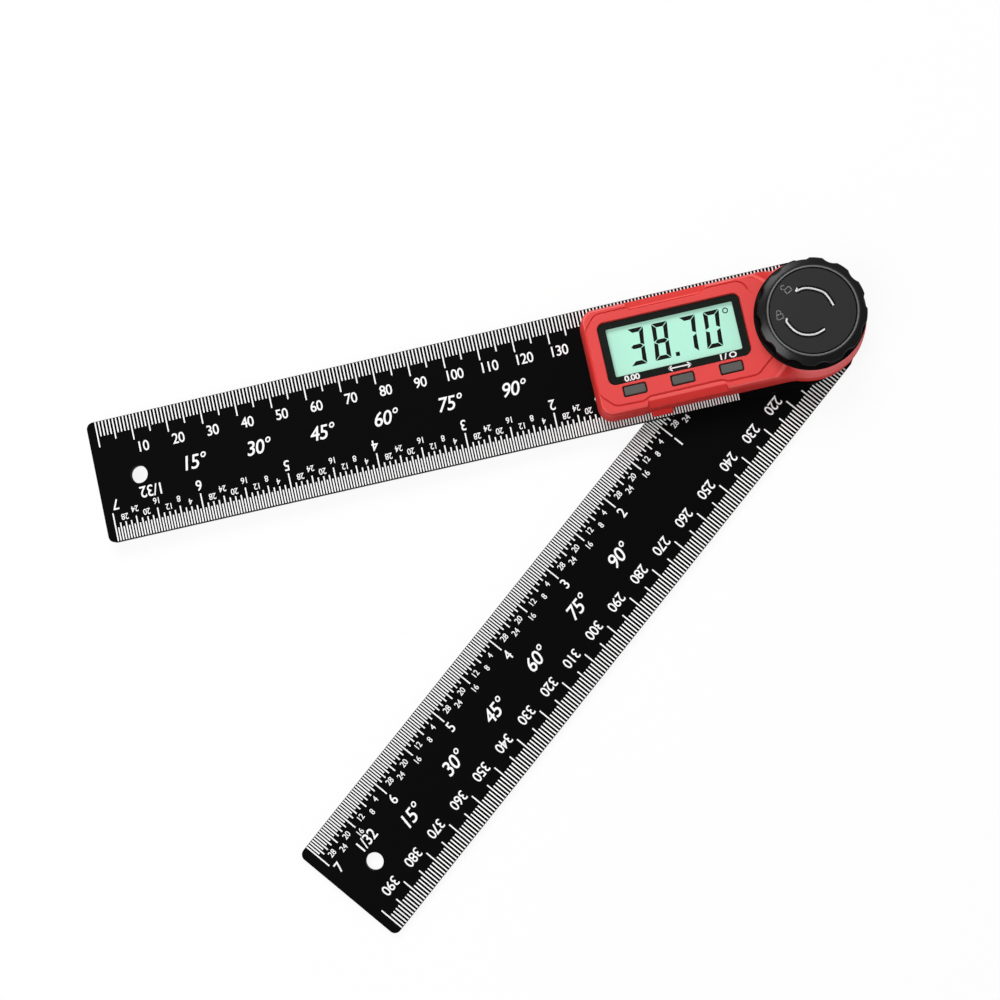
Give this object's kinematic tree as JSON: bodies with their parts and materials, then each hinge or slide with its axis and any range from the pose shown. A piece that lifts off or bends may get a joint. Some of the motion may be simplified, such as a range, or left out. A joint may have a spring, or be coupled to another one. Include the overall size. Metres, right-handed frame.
{
  "type": "digital angle finder ruler",
  "caption": "Digital angle finder with hinged ruler arms, a display housing with push buttons and a battery tray, and a fluted clamp knob on the pivot.",
  "frame": {"origin": "on the pivot axis, on the flat underside of the pivot bolt's head, level with the underside of the lower arm", "axes": "+Z is the pivot axis, up through the knob; the upper arm runs along -X; +Y is across the upper arm, away from the opened lower arm"},
  "size_m": [0.2184, 0.1561, 0.0223],
  "materials": {
    "arm_black": "satin black, printed in white",
    "housing_red": "satin red moulding",
    "window_clear": "clear pane with a black printed border",
    "display_mint": "lit pale green display",
    "light_white": "white light guide",
    "rubber_grey": "striped elastomer",
    "button_grey": "dull dark grey",
    "board_green": "green lacquered laminate",
    "epoxy_black": "moulded epoxy",
    "brass": "plain",
    "steel": "plated",
    "nylon_white": "natural nylon",
    "knob_black": "fine textured black",
    "cap_charcoal": "satin dark grey"
  },
  "bodies": {
    "upper_arm": {"upper_arm": "arm_black", "pivot_bush": "brass", "housing_screw_1": "steel", "housing_screw_2": "steel", "housing_screw_3": "steel", "housing_screw_4": "steel", "housing": "housing_red", "window": "window_clear", "display_glass": "display_mint", "back_light": "light_white", "display_strip_lower": "rubber_grey", "display_strip_upper": "rubber_grey", "main_board": "board_green", "controller_chip": "epoxy_black", "board_screw_1": "steel", "board_screw_2": "steel", "switch_dome_zero": "steel", "switch_dome_hold": "steel", "switch_dome_power": "steel", "battery_contact_positive": "brass", "battery_contact_negative": "brass"},
    "lower_arm": {"lower_arm": "arm_black", "slip_washer": "nylon_white", "pivot_bolt": "steel", "rotor_hub": "button_grey", "rotor_disc": "board_green", "rotor_clip": "steel"},
    "knob": {"knob": "knob_black", "knob_insert": "brass", "knob_cap": "cap_charcoal", "knob_washer": "nylon_white"},
    "button_zero": {"button_zero": "button_grey"},
    "button_hold": {"button_hold": "button_grey"},
    "button_power": {"button_power": "button_grey"},
    "battery_tray": {"battery_tray": "housing_red", "coin_cell": "steel"}
  },
  "joints": [
    {"name": "arm_swing", "type": "hinge", "parent": "upper_arm", "child": "lower_arm", "pos_m": [0, 0, 0], "axis": [0, 0, 1], "continuous": true},
    {"name": "knob_turn", "type": "hinge", "parent": "lower_arm", "child": "knob", "pos_m": [0, 0, 0.0159], "axis": [0, 0, 1], "range_deg": [0, 360]},
    {"name": "button_zero_press", "type": "slide", "parent": "upper_arm", "child": "button_zero", "axis": [0, 0, -1], "range_m": [0, 0.0005], "stiffness_N_per_m": 1000},
    {"name": "button_hold_press", "type": "slide", "parent": "upper_arm", "child": "button_hold", "axis": [0, 0, -1], "range_m": [0, 0.0005], "stiffness_N_per_m": 1000},
    {"name": "button_power_press", "type": "slide", "parent": "upper_arm", "child": "button_power", "axis": [0, 0, -1], "range_m": [0, 0.0005], "stiffness_N_per_m": 1000},
    {"name": "battery_tray_slide", "type": "slide", "parent": "upper_arm", "child": "battery_tray", "axis": [0, -1, 0], "range_m": [0, 0.0225]}
  ]
}
